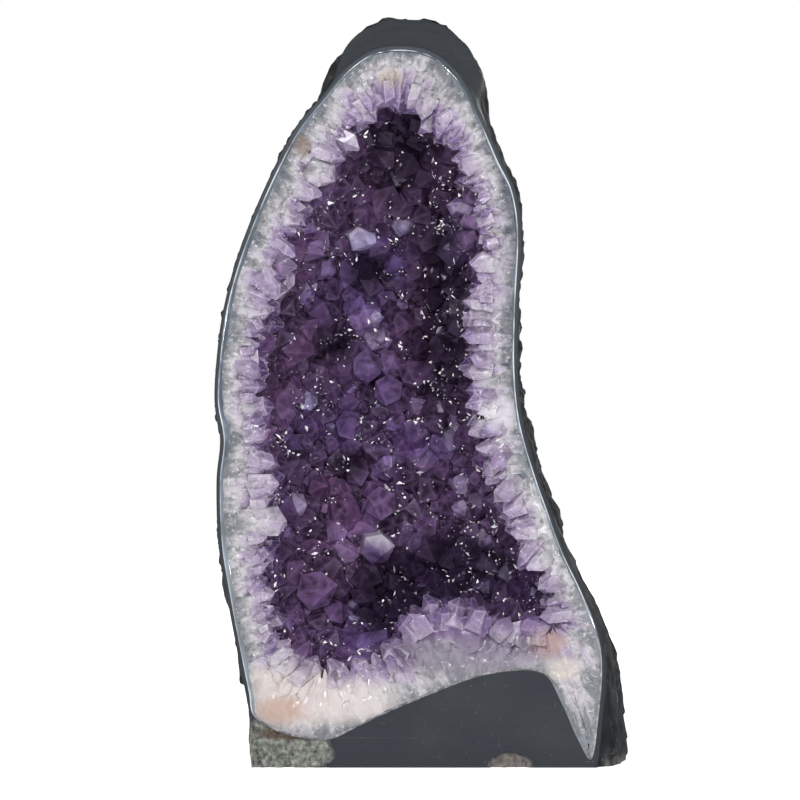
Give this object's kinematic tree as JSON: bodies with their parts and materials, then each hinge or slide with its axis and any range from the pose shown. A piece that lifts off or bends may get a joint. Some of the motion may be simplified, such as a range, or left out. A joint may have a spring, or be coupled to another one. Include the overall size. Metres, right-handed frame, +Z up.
{
  "type": "amethyst geode",
  "caption": "Tall cathedral geode sawn open at the front: dark rock shell, thin agate band, quartz rim and a deep hollow lined with purple amethyst points. Stands on a flat base.",
  "frame": {"origin": "centre of the whole part's box, at its underside", "axes": "+Z up, -Y the way the sawn face looks, +X to the right as seen from in front"},
  "size_m": [0.2148, 0.1502, 0.3796],
  "materials": {
    "basalt": "rough, painted dark, matt",
    "agate": "polished",
    "quartz": "sawn, glassy",
    "druse": "natural crystal faces",
    "amethyst": "natural crystal faces"
  },
  "bodies": {
    "root": {"agate_band": "agate", "amethyst_druse": "druse", "amethyst_point_01": "amethyst", "amethyst_point_02": "amethyst", "amethyst_point_03": "amethyst", "amethyst_point_04": "amethyst", "amethyst_point_05": "amethyst", "amethyst_point_06": "amethyst", "amethyst_point_07": "amethyst", "amethyst_point_08": "amethyst", "amethyst_point_09": "amethyst", "amethyst_point_10": "amethyst", "amethyst_point_11": "amethyst", "amethyst_point_12": "amethyst", "amethyst_point_13": "amethyst", "amethyst_point_14": "amethyst", "amethyst_point_15": "amethyst", "amethyst_point_16": "amethyst", "amethyst_point_17": "amethyst", "amethyst_point_18": "amethyst", "amethyst_point_19": "amethyst", "amethyst_point_20": "amethyst", "amethyst_point_21": "amethyst", "amethyst_point_22": "amethyst", "amethyst_point_23": "amethyst", "amethyst_point_24": "amethyst", "amethyst_point_25": "amethyst", "amethyst_point_26": "amethyst", "amethyst_point_27": "amethyst", "amethyst_point_28": "amethyst", "amethyst_point_29": "amethyst", "amethyst_point_30": "amethyst", "amethyst_point_31": "amethyst", "amethyst_point_32": "amethyst", "amethyst_point_33": "amethyst", "amethyst_point_34": "amethyst", "amethyst_point_35": "amethyst", "amethyst_point_36": "amethyst", "amethyst_point_37": "amethyst", "amethyst_point_38": "amethyst", "amethyst_point_39": "amethyst", "amethyst_point_40": "amethyst", "amethyst_point_41": "amethyst", "amethyst_point_42": "amethyst", "amethyst_point_43": "amethyst", "amethyst_point_44": "amethyst", "amethyst_point_45": "amethyst", "amethyst_point_46": "amethyst", "amethyst_point_47": "amethyst", "amethyst_point_48": "amethyst", "amethyst_point_49": "amethyst", "amethyst_point_50": "amethyst", "amethyst_point_51": "amethyst", "amethyst_point_52": "amethyst", "host_rock": "basalt", "quartz_layer": "quartz"}
  },
  "joints": []
}
